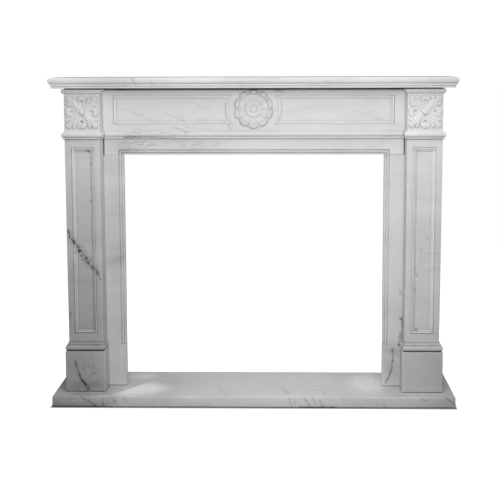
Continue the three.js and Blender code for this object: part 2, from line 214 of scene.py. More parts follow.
def marble(name, tone, shift, turn_deg, veins=(), streaks=(), stains_and_painted_light=(), joints=(), painted_shade_towards_floor=None, clouds=1.0):
    """Honed white marble. tone is the stone's grey, darkened by soft clouds, a fine mottle, hair veins
    and the grime and painted shade carried on its vertices, which also carry painted highlights. shift
    in metres and turn_deg about Y set where in the quarry it was cut. veins are (points, half, stray,
    dark, blots) as in vein_shade. The streaked areas and the tinted areas are (shade, centre, reach);
    the tinted ones are grey tints of the stone, painted shade and painted pools of light. The lines are
    (axis, distance from 0, half width, shade): dark joints, painted shadow lines and painted highlights.
    All are paler than the stone where a shade is below 0. The falloff is (share, height in m): painted
    shade darkens the stone by that share from the height down to the floor, as the lamps' light falls off."""
    material = bpy.data.materials.new(name)
    bench = Bench(material)
    place = bench.node("TexCoord", {}, output="Object")
    turned = bench.node(
        "Mapping", {}, place, Location=shift, Rotation=(0.0, math.radians(turn_deg), 0.0),
        Scale=BEDDING,
    )
    clouding = bench.noise(turned, **CLOUDS).band(*CLOUDS_BAND)
    mottle = bench.noise(turned, **MOTTLE)
    ridge = (bench.noise(turned, **HAIR) - 0.5).size()
    hair = ridge.band(HAIR_HALF, 0.0) * bench.noise(turned, **HAIR_BREAKS).band(*HAIR_BREAKS_BAND)
    # The vertex attribute darkens hollows and quirks with grime and painted shade, and below 0 adds painted
    # highlights.
    grime_and_shade = bench.node("Attribute", {"attribute_name": "grime_and_shade"}, output="Fac")
    shade = CLOUD_SHADE * clouds * clouding + MOTTLE_SHADE * mottle + HAIR_SHADE * hair + GRIME_SHADE_STRENGTH * grime_and_shade
    for vein in veins:
        shade = shade + vein_shade(bench, place, *vein)
    for dark, *oval in streaks:
        drawn = bench.vector("MULTIPLY", turned, STREAKS_DRAWN)
        shade = shade + area(bench, place, *oval) * bench.noise(drawn, **STREAKS).band(*STREAKS_BAND) * dark
    # Tinted areas: grey tints of the stone, painted shade, and painted pools of light where the shade is
    # below 0.
    for dark, *oval in stains_and_painted_light:
        shade = shade + area(bench, place, *oval) * (STAIN_EVEN + STAIN_CLOUDY * clouding) * dark
    # Lines along an axis: dark joints, painted shadow lines under overhangs and in quirks, and painted
    # highlights where the shade is below 0.
    for axis, level, half, dark in joints:
        way = bench.along(axis, place).size()
        shade = shade + (way - level * MM).size().band(half * MM, half * LINE_SOFTNESS * MM) * dark
    # Painted shade that grows darker towards the floor, as the lamps' light falls off.
    if painted_shade_towards_floor:
        shade = shade + bench.along("Z", place).band(painted_shade_towards_floor[1], 0.0) * painted_shade_towards_floor[0]
    grey = (tone * (1.0 - shade.smaller(DARKEST))).smaller(PALEST)
    base = bench.node("CombineColor", {}, grey, grey, grey * WARMTH)
    rough = ROUGH_CLEAN + ROUGH_MOTTLE * mottle + ROUGH_GRIME_SHADE * grime_and_shade
    grain = bench.noise(place, **FINE_GRAIN) + bench.noise(place, **COARSE_GRAIN) * COARSE_SHARE
    bump = bench.node("Bump", {}, Height=grain, Strength=GRAIN_STRENGTH, Distance=GRAIN_DEPTH)
    bench.node("OutputMaterial", {}, bench.node(
        "BsdfPrincipled", {}, Base_Color=base, Roughness=rough, Normal=bump, Specular_IOR_Level=SHEEN,
    ))
    return material


def skin(rings, grime_and_shade=None):
    """Vertices, faces and own grime, painted shade and painted light of rings (ring, point, xyz in mm)
    joined ring to ring, with both end rings capped. Points run anticlockwise seen from the last ring's
    side, so the faces point outwards."""
    rings = np.asarray(rings, float)
    count, points = rings.shape[:2]
    index = np.arange(count * points).reshape(count, points)
    ahead = np.roll(index, -1, axis=1)
    quads = np.stack([index[:-1], ahead[:-1], ahead[1:], index[1:]], axis=-1).reshape(-1, 4)
    faces = [*quads.tolist(), index[0, ::-1].tolist(), index[-1].tolist()]
    return rings.reshape(-1, 3), faces, np.zeros(index.size) if grime_and_shade is None else grime_and_shade.ravel()


SHARP = math.radians(32)
# Grime and painted shade gather in each stone's hollows by these numbers, where shade would fall.
GRIME_SHADE_SPREAD, GRIME_SHADE_GAIN, SHORTEST_EDGE = 2, 4.0, 0.2


def hollowness(mesh):
    """How hollow the surface is at each vertex: the way from it to the mean of its neighbours, along its
    normal and over the mean edge length, smoothed over the neighbours."""
    count = len(mesh.vertices)
    places, normals = np.empty(count * 3), np.empty(count * 3)
    mesh.vertices.foreach_get("co", places)
    mesh.vertex_normals.foreach_get("vector", normals)
    places, normals = places.reshape(-1, 3), normals.reshape(-1, 3)
    ends = np.empty(len(mesh.edges) * 2, int)
    mesh.edges.foreach_get("vertices", ends)
    here, there = np.concatenate([ends.reshape(-1, 2), ends.reshape(-1, 2)[:, ::-1]]).T
    lengths = np.linalg.norm(places[here] - places[there], axis=1)
    weights = 1.0 / np.maximum(lengths, SHORTEST_EDGE * MM)
    share = np.bincount(here, weights, count)

    def gathered(values):
        """The weighted mean of the neighbours' values at each vertex, column by column."""
        sums = [np.bincount(here, weights * column[there], count) for column in values.T]
        return np.stack(sums, axis=-1) / share[:, None]

    mean_length = np.bincount(here, lengths, count) / np.bincount(here, minlength=count)
    hollow = np.sum((gathered(places) - places) * normals, axis=1) / mean_length
    hollow = np.clip(hollow * GRIME_SHADE_GAIN, 0.0, 1.0)[:, None]
    for _ in range(GRIME_SHADE_SPREAD):
        hollow = np.maximum(0.8 * hollow, 0.5 * hollow + 0.5 * gathered(hollow))
    return hollow[:, 0]


def placed(name, data):
    """A new object in the scene."""
    made = bpy.data.objects.new(name, data)
    bpy.context.collection.objects.link(made)
    return made


def stone(name, skins, material):
    """The stone in place of the CAD node of its name, from its skins: smooth over gentle curves, sharp
    at arrises, with grime and painted shade in its hollows, and painted shade and light where a skin
    brings its own."""
    mesh = bpy.data.meshes.new(name)
    vertices, faces, own_light_and_shade, start = [], [], [], 0
    for points, sides, grime_and_shade in skins:
        vertices.append(points * MM)
        own_light_and_shade.append(grime_and_shade)
        faces += [[start + corner for corner in side] for side in sides]
        start += len(points)
    mesh.from_pydata(np.concatenate(vertices), [], faces)
    mesh.update()
    mesh.shade_smooth()
    mesh.set_sharp_from_angle(angle=SHARP)
    grime_and_shade = mesh.attributes.new("grime_and_shade", "FLOAT", "POINT")
    grime_and_shade.data.foreach_set("value", np.clip(hollowness(mesh) + np.concatenate(own_light_and_shade), -1, 1))
    mesh.materials.append(material)
    made = placed(name, mesh)
    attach(made, "root")
    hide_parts(name)


def extent(node):
    """Lowest and highest corner of a CAD node, in mm."""
    low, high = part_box(node)
    return np.array(low) / MM, np.array(high) / MM


def curve(start, end, first, steps=8):
    """A quarter of an ellipse from one [reach, height] point to another. first says whether it leaves the
    first point level or upright."""
    turn = np.linspace(0.0, math.pi / 2, steps + 1)
    gentle, brisk = 1 - np.cos(turn), np.sin(turn)
    shares = (brisk, gentle) if first == "level" else (gentle, brisk)
    start, end = np.array(start, float), np.array(end, float)
    return start + (end - start) * np.stack(shares, axis=-1)


def plan(corners, pushes, radii, cuts=None):
    """A plan outline: each corner is rounded by its radius, and side k is cut at the shares in cuts[k].
    Gives points (point, xy) and, for each, the way a moulding's reach pushes it."""
    corners, pushes = np.array(corners, float), np.array(pushes, float)
    cuts = cuts or {}
    points, ways = [], []
    count = len(corners)
    for k in range(count):
        here, before, after = corners[k], corners[k - 1], corners[(k + 1) % count]
        back = (before - here) / np.linalg.norm(before - here)
        ahead = (after - here) / np.linalg.norm(after - here)
        if radii[k]:
            turn = np.linspace(0.0, math.pi / 2, 6)[:, None]
            arc = here + radii[k] * ((1 - np.sin(turn)) * back + (1 - np.cos(turn)) * ahead)
        else:
            arc = here[None, :]
        points.append(arc)
        ways.append(np.repeat(pushes[k][None, :], len(arc), axis=0))
        if k in cuts:
            share = np.asarray(cuts[k], float)[:, None]
            points.append(here + (after - here) * share)
            ways.append(pushes[k] + (pushes[(k + 1) % count] - pushes[k]) * (share > 0.5))
    return np.concatenate(points), np.concatenate(ways)


def swept(outline, pushes, profile):
    """Rings of a plan outline pushed out by a profile of [reach, height] points."""
    profile = np.asarray(profile, float)
    flat = outline[None] + profile[:, :1, None] * pushes[None]
    height = np.broadcast_to(profile[:, 1:, None], flat.shape[:2] + (1,))
    return np.concatenate([flat, height], axis=-1)


def level_slab(low, high, profile):
    """Rings of a level slab with the profile on its front and both ends, and its back left square."""
    corners = [(low[0], low[1]), (high[0], low[1]), (high[0], high[1]), (low[0], high[1])]
    outline, pushes = plan(corners, [(-1, -1), (1, -1), (1, 0), (-1, 0)], [3, 3, 0, 0])
    return swept(outline, pushes, profile)


ARRIS, EASED = 4.0, 1.5
low, high = extent("hearth_slab")
profile = np.concatenate([
    curve((-EASED, low[2]), (0, low[2] + EASED), "level", 3),
    curve((0, high[2] - ARRIS), (-ARRIS, high[2]), "upright", 6),
])
hearth_veins = [
    ([(-636, -200, 34), (-612, -200, 20), (-587, -200, 3)], 2.2, 4, 0.42),
    ([(-563, -200, 38), (-557, -200, 7)], 1.6, 3, 0.35),
    ([(-526, -200, 38), (-513, -200, 19)], 2.6, 3, 0.5),
    ([(-481, -200, 38), (-472, -200, 15)], 1.8, 3, 0.35),
    ([(133, -200, 36), (144, -200, 6)], 1.6, 4, 0.4),
    ([(152, -200, 31), (157, -200, 12)], 1.6, 3, 0.35),
    ([(189, -200, 36), (211, -200, 7)], 2.2, 4, 0.5),
    ([(218, -200, 37), (233, -200, 14)], 1.8, 4, 0.5),
    ([(248, -200, 26), (259, -200, 3)], 2.4, 4, 0.5),
    ([(173, -200, 3), (212, -200, 2), (262, -200, 3), (300, -200, 2)], 2.2, 3, 0.5, 0.5),
    ([(618, -200, 38), (644, -200, 25)], 1.6, 3, 0.35),
    ([(712, -200, 38), (730, -200, 27), (747, -200, 14)], 2.4, 4, 0.4),
    ([(105, -47, 40), (118, -100, 40), (133, -153, 40)], 2.4, 8, 0.4),
    ([(190, -138, 40), (228, -91, 40), (251, -91, 40), (268, -151, 40)], 2.2, 8, 0.4),
    ([(-144, -19, 40), (-106, -172, 40)], 2.6, 10, 0.22),
    ([(-690, -150, 40), (-640, -196, 40)], 3, 8, 0.3),
    ([(-560, -150, 40), (-500, -196, 40)], 3, 8, 0.3),
]
# The dark ends are partly grey veining and partly painted shade. The pale patches on the top are painted
# pools of light, the left one cut off by a sharp painted shadow edge.
hearth_stains_and_light = [
    (0.34, (-700, 20), (230, 400)), (0.07, (720, 20), (190, 400)),
    (-0.60, (-470, -75), (190, 150), True, [(-555, -208), (-409, 42)]),
    (-0.40, (435, 20), (100, 190), True),
    (-0.35, (-450, 120), (90, 80), True),
]
stone(
    "hearth_slab", [skin(level_slab(low, high, profile))],
    marble(
        "hearth_marble", 0.69, (2.3, 0.7, 1.1), -72, hearth_veins, stains_and_painted_light=hearth_stains_and_light,
        streaks=[(0.16, (-600, 20), (220, 60)), (0.12, (420, 20), (260, 60))],
        # The dark foot of the slab is painted shade where it meets the floor.
        joints=[("Z", 0, 4.5, 0.55)], clouds=1.5,
    ),
)


# Plinth blocks
# A hollow block at the foot of each leg: a front slab and two returns of white marble glued at
# their arrises. It is a little wider and deeper than the pilaster that stands on it.

WALL = 30.0
GAP = 0.3
SLIP_FACE = -28.0
INNER_SHARE = 0.5
SIDES = {"right": 1, "left": -1}


def leg_rings(node, profile, outer, inner, return_end, cuts=None, inner_round=2.0, inner_share=INNER_SHARE):
    """Rings of a hollow leg stone on the +X side. Its plan is the front, the outer return to the wall and
    the inner return, and a profile of [reach, height] points pushes the seen faces out."""
    low, high = extent(node)
    front = low[1] + np.max(np.asarray(profile)[:, 0])
    back = high[1]
    corners = [
        (inner, front), (outer, front), (outer, back), (outer - WALL, back),
        (outer - WALL, front + WALL), (inner + WALL, front + WALL),
        (inner + WALL, return_end), (inner, return_end),
    ]
    ways = [(-inner_share, -1), (1, -1), (1, 0), (0, 0), (0, 0), (0, 0), (0, 0), (-inner_share, 0)]
    outline, pushes = plan(corners, ways, [inner_round, 2, 0, 0, 0, 0, 0, 0], cuts)
    return swept(outline, pushes, profile)


def on_side(rings, side):
    """The rings as they are for the right side, or mirrored and run the other way round for the left."""
    if side > 0:
        return rings
    return rings[:, ::-1] * np.array([-1, 1, 1])


PLINTH_OUTER, PLINTH_INNER = 709.0, 557.0
# The dark line at the foot is the joint on the hearth. The pale lines along the top arris and the upright
# arrises are painted highlights.
plinth_lines = [
    ("Z", 40, 3.4, 0.85), ("Z", 193, 2.4, -0.14), ("X", 560.6, 2.6, -0.16), ("X", 706, 2.4, -0.08),
]
plinth_looks = {
    "right": dict(tone=0.56, shift=(4.2, 0.3, 1.9), turn_deg=-28, clouds=1.4),
    "left": dict(
        tone=0.47, shift=(1.1, 2.4, 0.6), turn_deg=77, clouds=2.2,
        streaks=[(0.30, (-612, 125), (60, 75))],
        veins=[
            ([(-670, 156), (-668, 135), (-660, 115), (-650, 88), (-632, 69), (-626, 42)],
             2.4, 4, 0.62, 0.6),
            ([(-658, 104), (-647, 77), (-634, 66)], 2.0, 3, 0.45, 0.5),
            ([(-707, 164), (-681, 131)], 1.5, 3, 0.25),
        ],
        stains_and_painted_light=[(0.10, (-640, 165), (60, 60)), (0.08, (-590, 100), (30, 50)), (0.14, (-640, 66), (70, 34))],
    ),
}
low, high = extent("right_plinth_block")
profile = np.concatenate([
    curve((-0.5, low[2]), (0, low[2] + 0.5), "level", 2),
    curve((0, high[2] - ARRIS), (-ARRIS, high[2]), "upright", 6),
])
rings = leg_rings("right_plinth_block", profile, PLINTH_OUTER, PLINTH_INNER, SLIP_FACE - GAP)
for side, sign in SIDES.items():
    stone(
        f"{side}_plinth_block", [skin(on_side(rings, sign))],
        marble(f"{side}_plinth_marble", joints=plinth_lines, **plinth_looks[side]),
    )


# Pilasters
# The tall hollow shaft of each leg, built up like the plinth. A quirk, torus and cove are worked
# round its foot, and a long panel is sunk in its front behind a quirk and a bead.

SHAFT_OUTER, SHAFT_INNER = 695.0, 565.0
BASE = {
    "quirk": 4, "quirk_reach": 6, "torus": 17, "shoulder": 8, "reach": 13, "cove": 8, "fillet": 4, "lip": 3,
}
LEG_PANEL = {"width": 86, "bottom": 263, "top": 961}
QUIRK = {"floor": 3.6, "wall": 0.4}
INNER_LINE, INNER_LINE_HALF = 1.3, 0.8
# A painted highlight along the crest of each sunk panel's bead.
BEAD_HIGHLIGHT, BEAD_HIGHLIGHT_HALF = -0.45, 1.8
BEAD = {"middle": 4.6, "half": 2.6, "height": 3.6}


def base_profile(bottom):
    """Upwards: a quirk, a round torus, a cove and a square fillet."""
    torus_low = bottom + BASE["quirk"]
    torus_mid = torus_low + BASE["torus"] / 2
    torus_high = torus_low + BASE["torus"]
    cove_high = torus_high + BASE["cove"]
    return np.concatenate([
        [(BASE["quirk_reach"], bottom), (BASE["quirk_reach"], torus_low - 0.4)],
        curve((BASE["shoulder"], torus_low), (BASE["reach"], torus_mid), "level"),
        curve((BASE["reach"], torus_mid), (BASE["shoulder"], torus_high), "upright")[1:],
        [(BASE["shoulder"] - 2.6, torus_high + 0.3)],
        curve((BASE["shoulder"] - 2.6, torus_high + 0.9), (BASE["lip"], cove_high), "level"),
        [(BASE["lip"], cove_high + BASE["fillet"] - 0.5), (BASE["lip"] - 0.5, cove_high + BASE["fillet"])],
        [(0.3, cove_high + BASE["fillet"] + 0.1), (0, cove_high + BASE["fillet"] + 0.8)],
        [(0, cove_high + BASE["fillet"] + 2), (0, cove_high + BASE["fillet"] + 5)],
    ])


def smooth(low, high, value):
    """0 below low, 1 above high and an S-curve between."""
    share = np.clip((value - low) / (high - low), 0, 1)
    return share * share * (3 - 2 * share)


def sunk_depth(inset, field, width):
    """Depth of a sunk panel's moulding at an inset from its line: a narrow quirk, a half-round bead
    standing in it, an S-curve down to the field, and a fine line cut where it meets the field."""
    quirk = QUIRK["floor"] * np.clip(inset / QUIRK["wall"], 0, 1)
    round_off = np.sqrt(np.clip(1 - ((inset - BEAD["middle"]) / BEAD["half"]) ** 2, 0, 1))
    start = BEAD["middle"] + BEAD["half"] + 0.4
    fall = (field - QUIRK["floor"]) * smooth(start, width, inset)
    line = INNER_LINE * np.exp(-((inset - width) / INNER_LINE_HALF) ** 2)
    return quirk - BEAD["height"] * round_off + fall + line


def bead_highlight(inset):
    """A painted highlight on the crest of a sunk panel's bead, as values below 0."""
    return BEAD_HIGHLIGHT * np.exp(-((inset - BEAD["middle"]) / BEAD_HIGHLIGHT_HALF) ** 2)


def inset_stops(width):
    """Insets at which a sunk moulding needs a line of the grid: close together over quirk and bead."""
    bead = BEAD["middle"] - BEAD["half"] * np.cos(np.linspace(0, math.pi, 9))
    slope = np.linspace(BEAD["middle"] + BEAD["half"] + 0.4, width - 1.4, 7)
    edge = np.array([-3, -1.5, -0.6, -0.3, 0, 0.2, 0.4])
    field = width + np.array([-0.7, 0, 0.7, 1.4, 3])
    return np.concatenate([edge, bead, slope, field])


def both_ways(low, high, stops, between):
    """Stops measured in from low and from high, with evenly spaced ones between."""
    middle = np.linspace(low + stops[-1], high - stops[-1], between + 2)[1:-1]
    return np.concatenate([low + stops, middle, (high - stops)[::-1]])


PANEL_FIELD, PANEL_SLOPE = 6.4, 17.0
low, high = extent("right_pilaster")
middle = (SHAFT_INNER + SHAFT_OUTER) / 2
panel_left, panel_right = middle - LEG_PANEL["width"] / 2, middle + LEG_PANEL["width"] / 2
columns = both_ways(panel_left, panel_right, inset_stops(PANEL_SLOPE), 6)
rows = both_ways(LEG_PANEL["bottom"], LEG_PANEL["top"], inset_stops(PANEL_SLOPE), 30)
profile = np.concatenate([
    base_profile(low[2]),
    np.column_stack([0 * rows, rows]),
    [(0, high[2] - 0.5), (-0.5, high[2])],
])
shares = (columns - SHAFT_INNER) / (SHAFT_OUTER - SHAFT_INNER)
rings = leg_rings(
    "right_pilaster", profile, SHAFT_OUTER, SHAFT_INNER, SLIP_FACE - GAP, {0: shares}, inner_round=3.5,
)
inset = np.minimum.reduce([
    rings[..., 0] - panel_left, panel_right - rings[..., 0],
    rings[..., 2] - LEG_PANEL["bottom"], LEG_PANEL["top"] - rings[..., 2],
])
seen = rings[..., 1] < low[1] + BASE["reach"] + 1
rings[..., 1] += np.where(seen, sunk_depth(np.maximum(inset, 0), PANEL_FIELD, PANEL_SLOPE) * (inset > 0), 0)
# Painted highlight on the bead round the pilaster's panel.
grime_and_shade = np.where(seen, bead_highlight(inset), 0)
# The top line is the joint under the corner block. The other three are painted shade lines in the base
# moulding: under the torus, in the cove and over the fillet.
pilaster_lines = [
    ("Z", 990, 1.8, 0.5), ("Z", 198.6, 3.0, 0.7), ("Z", 219.4, 1.8, 0.3), ("Z", 230.5, 1.6, 0.25),
]
# Each pilaster is painted darker towards the floor, the left one more.
pilaster_looks = {
    "right": dict(
        tone=0.84, shift=(0.4, 3.1, 0.9), turn_deg=-24, painted_shade_towards_floor=(0.26, 0.95),
        veins=[
            speck(644, 621, 0.3), speck(622, 579, 0.35), speck(607, 485, 0.35), speck(602, 429, 0.35),
            speck(608, 277, 0.8),
        ],
    ),
    "left": dict(
        tone=0.77, shift=(3.3, 1.2, 2.7), turn_deg=32, painted_shade_towards_floor=(0.40, 1.05),
        veins=[
            ([(-688, 648), (-679, 628), (-670, 610)], 4.0, 5, 0.32, 1.6),
            ([(-670, 610), (-656, 588), (-646, 574)], 2.2, 5, 0.40, 0.6),
            ([(-652, 582), (-638, 560), (-624, 544)], 7.0, 6, 0.30, 1.3),
            ([(-670, 604), (-644, 572), (-628, 548)], 11.0, 9, 0.12),
            ([(-626, 541), (-616, 531)], 2.4, 3, 0.30),
            ([(-618, 529), (-616, 523)], 4.5, 2, 0.45),
            ([(-603, 515), (-592, 507), (-583, 494)], 4.0, 4, 0.40, 0.8),
            ([(-583, 492), (-572, 470)], 2.6, 4, 0.28, 0.8),
            speck(-610, 946), speck(-600, 903), speck(-600, 807, 0.3), speck(-603, 762, 0.35),
            speck(-687, 339, 0.3), speck(-691, 323, 0.3),
            ([(-615, 951), (-604, 945)], 2.4, 2, 0.35),
        ],
        stains_and_painted_light=[(0.15, (-630, 730), (120, 190)), (0.08, (-630, 500), (120, 80))],
    ),
}
for side, sign in SIDES.items():
    stone(
        f"{side}_pilaster", [skin(on_side(rings, sign), grime_and_shade[:, ::sign])],
        marble(f"{side}_pilaster_marble", joints=pilaster_lines, **pilaster_looks[side]),
    )


# Corner blocks
# The block over each pilaster, with a band moulding below and a cap moulding above. A square
# flower is carved on its face: four rolled leaves on the axes and four lobed leaves to the corners.

BAND = {"fillet": 8, "fillet_reach": 5.5, "quirk_reach": 2.5, "height": 25, "widest": 10, "reach": 11.5}
CAP = {"bottom": 1157, "height": 17, "lip": 2, "ovolo": 10, "reach": 9, "arris": 1.5, "neck": -2}
FLOWER = {"centre": 1090.5, "button": 11, "groove": 14.5}
LEAF = {"axial": (38, 22), "lobe": (59, 6.6), "lobe_deg": 29.5, "tip": (67.5, 11)}
EYE = {"centre": 37, "radius": 7.5, "depth": 4.6}
RIDGE = {"half": 7.5, "height": 1.7, "channel": 1.5, "channel_depth": 1.3}
LOBE_PARTS = [(22, 1.6, 3.0, 36, 46), (35, 1.6, 2.8, 50, 60), (24, 4.0, 0.9, 18, 28)]
LOBE_SWELLS = [(50, 0, 8, 1.4), (57, 29, 5.5, 1.2), (66, 45, 8, 1.6), (44, 33, 6, 0.6)]
CORNER_INNER_SHARE = 0.8
CARVING_BED = 3.0
EDGE_LAP = 3.0
SPOKES = 720
# Painted shade round a carving's outline, strongest below it.
RIM_SHADE, RIM_SHADE_EVEN, RIM_SHADE_BELOW = np.array([0.7, 1.0, 0.9, 0.0]), 0.52, 0.22
GROUND, FULLEST, LOWEST = 4.4, 3.6, 0.4
VALLEY = {"depth": 1.8, "half_turn": 0.32}
GROOVE_FLOOR, DOME_FOOT, DOME_RISE = 1.6, 4.5, 4.5
# Painted light in the groove above the flower's button.
BUTTON_LIGHT = {"grime_and_shade": -0.35, "beyond": 1.5, "half": 2}


def band_profile(bottom):
    """Upwards: a round fillet, a quirk, a nosing and an S-curve back to the face."""
    nosing = bottom + BAND["fillet"]
    widest = nosing + BAND["widest"]
    top = nosing + BAND["height"]
    share = np.linspace(0, 1, 11)[1:]
    wave = np.column_stack([BAND["reach"] * (1 - smooth(0, 1, share)), widest + (top - widest) * share])
    return np.concatenate([
        curve((BAND["fillet_reach"] / 2, bottom), (BAND["fillet_reach"], bottom + 4), "level", 5),
        [(BAND["fillet_reach"], nosing - 1.2), (BAND["quirk_reach"], nosing - 0.9)],
        [(BAND["quirk_reach"], nosing)],
        curve((BAND["fillet_reach"] + 1, nosing + 0.5), (BAND["reach"], widest), "level"),
        wave,
    ])


def disc_edge(angle, centre, radius):
    """How far from the origin a disc reaches along each angle off its middle line, or 0 where it
    doesn't: centre cos(angle) + the root of radius^2 - (centre sin(angle))^2."""
    inside = radius ** 2 - (centre * np.sin(angle)) ** 2
    return np.where(inside > 0, centre * np.cos(angle) + np.sqrt(np.maximum(inside, 0)), 0)


def carved_boss(centre_x, centre_z, face, edge, rise, rings, lines=None):
    """Rings of a boss carved on a front face, and the painted shade and light on it. edge(turn) is its
    outline's radius and rise(x, z, share, turn) its height, with x and z from its centre. Beyond the
    outline it drops to the ground and laps onto it, and painted shade lies there, most of all under the
    boss as a painted shadow. lines(share, turn) may add painted shade and light on the boss."""
    turn = np.linspace(0, 2 * math.pi, SPOKES, endpoint=False)[None, :]
    share = np.concatenate([[0.004], rings])[:, None]
    reach = edge(turn)
    radius = share * reach
    x, z = radius * np.sin(turn), radius * np.cos(turn)
    height = rise(x, z, share + 0 * turn, turn + 0 * share)
    level = 0 * reach
    rim = [(reach + 0.15, 0.5 * height[-1:]), (reach + 0.4, level + 0.1), (reach + 1.4, level + 0.09)]
    rim += [(reach + EDGE_LAP, level + 0.08), (reach + EDGE_LAP, level - CARVING_BED)]
    radius = np.concatenate([radius, *[r for r, _ in rim]])
    height = np.concatenate([height, *[h for _, h in rim]])
    grime_and_shade = np.zeros_like(radius)
    # Painted shade round the outline, darkest below the boss, where its shadow falls.
    grime_and_shade[-len(rim):-1] = RIM_SHADE[:, None] * (RIM_SHADE_EVEN - RIM_SHADE_BELOW * np.cos(turn))
    if lines:
        grime_and_shade[:len(share)] = lines(share, turn)
    across, up = radius * np.sin(turn), radius * np.cos(turn)
    return np.stack([centre_x + across, face - height, centre_z + up], axis=-1), grime_and_shade


def off_axis(turn):
    """Angle from the nearest of the four axes."""
    quarter = math.pi / 2
    return np.abs(turn - quarter * np.round(turn / quarter))


def flower_edge(turn):
    """The outline: the furthest of three discs, for the axial leaf, the side lobe and the corner tip."""
    angle = off_axis(turn)
    lobe_at = math.radians(LEAF["lobe_deg"])
    return np.maximum.reduce([
        disc_edge(angle, *LEAF["axial"]), disc_edge(angle - lobe_at, *LEAF["lobe"]),
        disc_edge(angle - math.pi / 4, *LEAF["tip"]),
    ])


def flower_rise(x, z, share, turn):
    """The height: a low ground that climbs to a ridge along each diagonal, with a channel down the
    ridge, lobes parted by grooves from the notches inwards, a valley with an eye sunk in it on each
    axis, and a domed button in a groove."""
    angle = off_axis(turn)
    out = np.hypot(x, z)
    across, along = out * np.sin(angle), out * np.cos(angle)
    aside = (along - across) * math.sqrt(0.5)
    ridge = RIDGE["height"] * np.exp(-(aside / RIDGE["half"]) ** 2)
    ridge = ridge * smooth(8, 20, out) * smooth(74, 48, out)
    channel = RIDGE["channel_depth"] * np.exp(-(aside / RIDGE["channel"]) ** 2)
    channel = channel * smooth(14, 26, out) * smooth(74, 60, out)
    height = GROUND + ridge - channel
    for part_deg, half, depth, start, full in LOBE_PARTS:
        gap = out * (angle - math.radians(part_deg))
        height = height - depth * np.exp(-(gap / half) ** 2) * smooth(start, full, out)
    valley = VALLEY["depth"] * np.exp(-(angle / VALLEY["half_turn"]) ** 2)
    height = height - valley * smooth(14, 22, out) * smooth(48, 36, out)
    for swell_out, swell_deg, half, rise in LOBE_SWELLS:
        way = out ** 2 + swell_out ** 2 - 2 * out * swell_out * np.cos(angle - math.radians(swell_deg))
        height = height + rise * np.exp(-way / half ** 2)
    inner = np.hypot(along - EYE["centre"], across) / EYE["radius"]
    height = height - EYE["depth"] * smooth(1.0, 0.7, inner)
    rolled = GROUND + FULLEST * np.sqrt(np.clip((1 - share) * 9, 0, 1))
    height = np.minimum(np.maximum(height, LOWEST), rolled)
    button = DOME_FOOT + DOME_RISE * np.sqrt(np.clip(1 - (out / FLOWER["button"]) ** 2, 0, 1))
    sunk = GROOVE_FLOOR + (height - GROOVE_FLOOR) * smooth(FLOWER["button"] + 1, 17, out)
    height = np.where(out < FLOWER["groove"], sunk, height)
    return np.where(out < FLOWER["button"], button, height)


def button_lines(share, turn):
    """Painted light in the groove above the button, where it would be in full light."""
    out = share * flower_edge(turn)
    past = (out - FLOWER["button"] - BUTTON_LIGHT["beyond"]) / BUTTON_LIGHT["half"]
    return BUTTON_LIGHT["grime_and_shade"] * (1 + np.cos(turn)) * np.exp(-past ** 2)


low, high = extent("right_corner_block")
cap_top = CAP["bottom"] + CAP["height"]
profile = np.concatenate([
    band_profile(low[2]),
    [(0, 1028), (0, 1040), (0, CAP["bottom"] - 5), (0, CAP["bottom"] - 2), (0, CAP["bottom"] - 0.6)],
    [(-0.6, CAP["bottom"]), (CAP["lip"], CAP["bottom"] + 0.3)],
    curve((CAP["lip"], CAP["bottom"] + 1), (CAP["reach"], CAP["bottom"] + CAP["ovolo"]), "level"),
    curve((CAP["reach"], cap_top - CAP["arris"]), (CAP["reach"] - CAP["arris"], cap_top), "upright", 3),
    [(CAP["neck"], cap_top + 0.2), (CAP["neck"], high[2])],
])
face = low[1] + BAND["reach"]
rings = leg_rings(
    "right_corner_block", profile, SHAFT_OUTER, SHAFT_INNER, -38 - GAP, inner_share=CORNER_INNER_SHARE,
)
ring_shares = np.concatenate([np.linspace(0.03, 0.9, 52), np.linspace(0.91, 1, 12)])
flower, flower_light_and_shade = carved_boss(
    middle, FLOWER["centre"], face, flower_edge, flower_rise, ring_shares, button_lines,
)
eye_height = FLOWER["centre"] + 2.5
# A painted shadow under the shelf, and the dark joint on the pilaster.
corner_joints_and_shadow = [("Z", 1178, 6.0, 0.92), ("Z", 990.5, 1.8, 0.5)]
# Painted shade in the eyes of the flower's axial leaves, darkest in the lowest eye, where light from above
# doesn't reach.
eye_shadows = [
    (0.62, (0, eye_height - EYE["centre"]), (9, 6)), (0.16, (0, eye_height + EYE["centre"]), (7, 5)),
    (0.30, (EYE["centre"], eye_height), (7, 5)), (0.30, (-EYE["centre"], eye_height), (7, 5)),
]
corner_looks = {
    "right": dict(tone=0.88, shift=(5.1, 0.2, 3.3), turn_deg=-12),
    "left": dict(tone=0.84, shift=(2.2, 4.4, 1.5), turn_deg=18),
}
for side, sign in SIDES.items():
    stains_and_painted_light = [(dark, (sign * middle + x, z), reach) for dark, (x, z), reach in eye_shadows]
    stone(
        f"{side}_corner_block",
        [skin(on_side(rings, sign)), skin(on_side(flower, sign), flower_light_and_shade[:, ::sign])],
        marble(f"{side}_corner_marble", stains_and_painted_light=stains_and_painted_light, joints=corner_joints_and_shadow, **corner_looks[side]),
    )


# Slips
# The flat surround of the fire opening: two uprights and a head, bedded against the backs of the
# pilasters. A stepped moulding runs round the opening and stops on a slope above the hearth.

